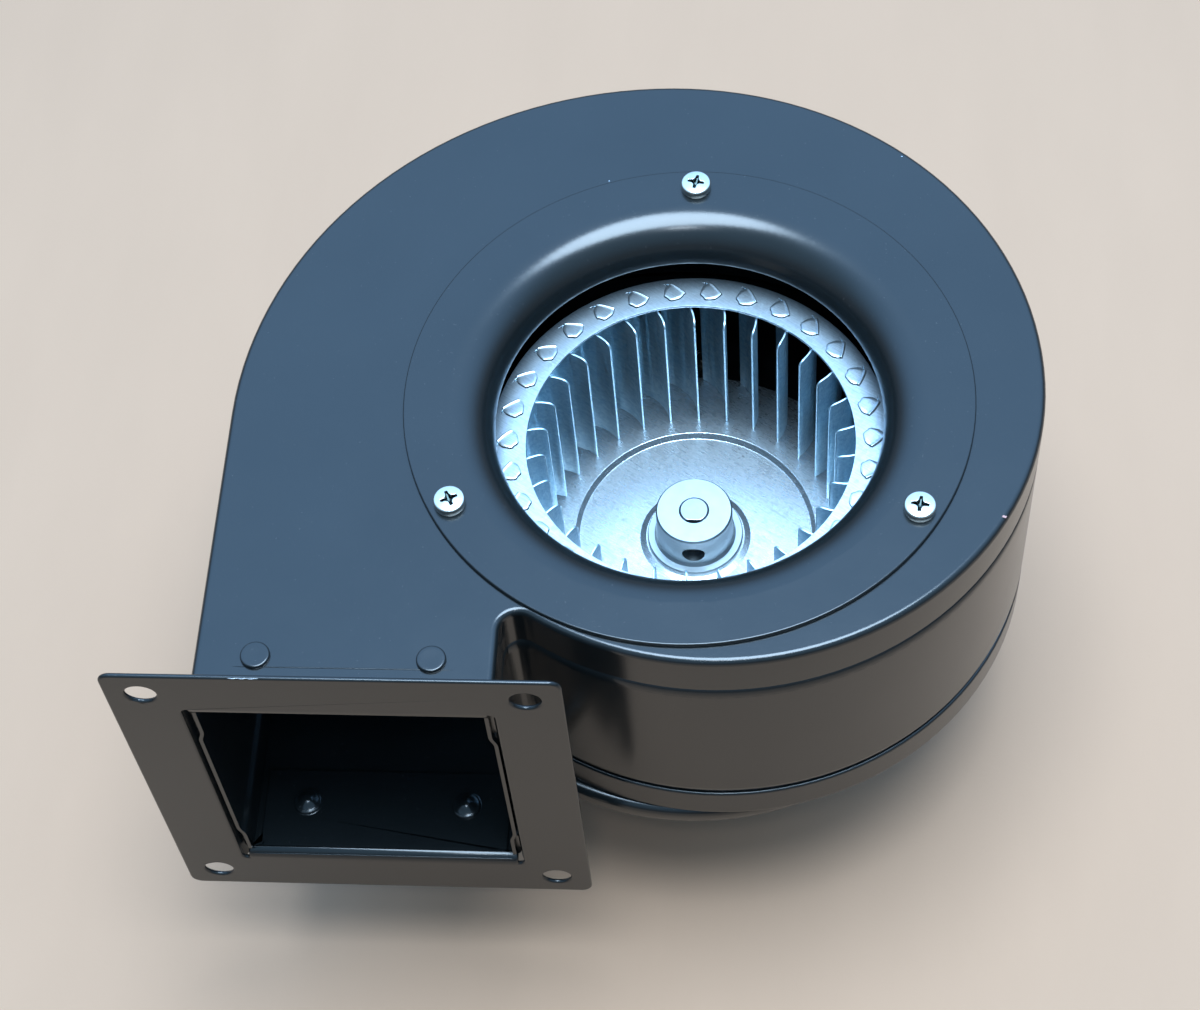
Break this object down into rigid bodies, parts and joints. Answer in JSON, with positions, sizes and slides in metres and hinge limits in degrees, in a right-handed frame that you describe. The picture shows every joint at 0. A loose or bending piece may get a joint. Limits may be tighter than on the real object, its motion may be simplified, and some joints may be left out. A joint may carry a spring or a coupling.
{
  "type": "dc blower fan",
  "caption": "Centrifugal blower with a folded sheet-metal scroll, square outlet flange, bell-mouth inlet and a brushed dc motor.",
  "frame": {"origin": "on the fan axis at the motor's rear end face, on which the blower stands", "axes": "+Z along the fan axis towards the inlet, -Y out of the outlet, +X away from the outlet neck"},
  "size_m": [0.2155, 0.1875, 0.1524],
  "materials": {
    "black_paint": "satin",
    "can_paint": "satin",
    "galvanised": "satin",
    "zinc_plate": "polished",
    "steel": "polished",
    "cast_aluminium": "matte",
    "ferrite": "matte",
    "lamination": "satin",
    "copper": "satin",
    "brass": "satin",
    "card": "matte",
    "carbon": "matte",
    "black_oxide": "satin",
    "rubber": "matte"
  },
  "bodies": {
    "housing": {"front_shell": "black_paint", "scroll_band": "black_paint", "back_shell": "black_paint", "outlet_flange": "black_paint", "inlet_ring": "black_paint", "inlet_screws": "zinc_plate", "inlet_nuts": "zinc_plate", "motor_plate": "black_paint", "plate_screws": "zinc_plate", "plate_nuts": "zinc_plate", "front_bell": "cast_aluminium", "bell_screws": "zinc_plate", "motor_can": "can_paint", "magnets": "ferrite", "brush_card": "card", "brush_holders": "brass", "brushes": "carbon", "brush_springs": "steel", "tie_screws": "zinc_plate", "lead_grommet": "rubber", "bearing_outer_rings": "steel", "bearing_balls": "steel"},
    "rotor": {"shaft": "steel", "bearing_inner_rings": "steel", "armature_core": "lamination", "windings": "copper", "commutator": "copper", "fan_hub": "zinc_plate", "set_screw": "black_oxide", "fan_plate": "galvanised", "blades": "galvanised", "fan_ring": "galvanised"}
  },
  "joints": [
    {"name": "fan_spin", "type": "hinge", "parent": "housing", "child": "rotor", "pos_m": [0, 0, 0.096], "axis": [0, 0, 1], "continuous": true}
  ]
}
